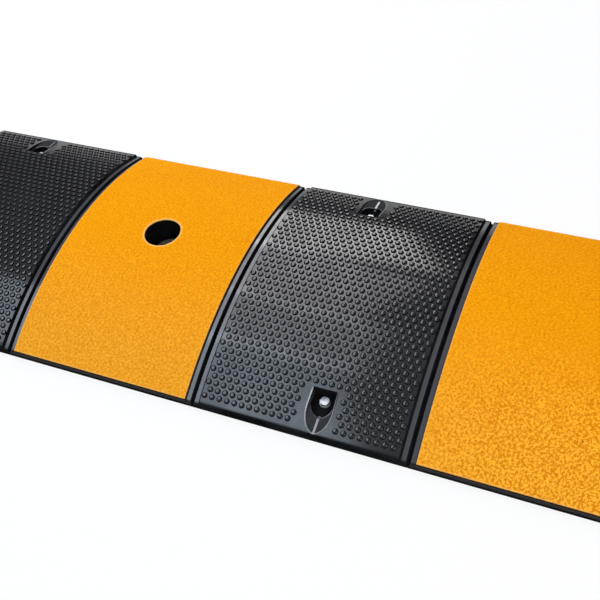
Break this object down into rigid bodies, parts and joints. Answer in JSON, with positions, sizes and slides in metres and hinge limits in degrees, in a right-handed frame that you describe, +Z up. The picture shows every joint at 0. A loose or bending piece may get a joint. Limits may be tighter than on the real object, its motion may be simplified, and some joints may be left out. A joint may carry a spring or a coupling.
{
  "type": "speed bump",
  "caption": "Modular rubber speed bump: arched black and yellow modules keyed end to end, with studded black panels, bonded yellow sheets and screws sunk in drained pockets.",
  "frame": {"origin": "centre of the underside, on the road surface", "axes": "+X along the run of modules, +Y across it from the front to the rear, +Z up"},
  "size_m": [0.9996, 0.35, 0.0511],
  "materials": {
    "black_rubber": "moulded satin rubber",
    "yellow_sheet": "grained amber yellow sheet",
    "zinc_steel": "bright zinc plate",
    "dowel_plastic": "black nylon"
  },
  "bodies": {
    "root": {"black_module_1": "black_rubber", "black_module_2": "black_rubber", "yellow_module_1": "black_rubber", "yellow_module_2": "black_rubber", "yellow_sheet_1": "yellow_sheet", "yellow_sheet_2": "yellow_sheet", "black_1_front_screw": "zinc_steel", "black_1_rear_screw": "zinc_steel", "black_2_front_screw": "zinc_steel", "black_2_rear_screw": "zinc_steel", "black_1_front_washer": "zinc_steel", "black_1_rear_washer": "zinc_steel", "black_2_front_washer": "zinc_steel", "black_2_rear_washer": "zinc_steel", "joint_1_front_dowel": "dowel_plastic", "joint_1_rear_dowel": "dowel_plastic", "joint_2_front_dowel": "dowel_plastic", "joint_2_rear_dowel": "dowel_plastic", "joint_3_front_dowel": "dowel_plastic", "joint_3_rear_dowel": "dowel_plastic"}
  },
  "joints": []
}
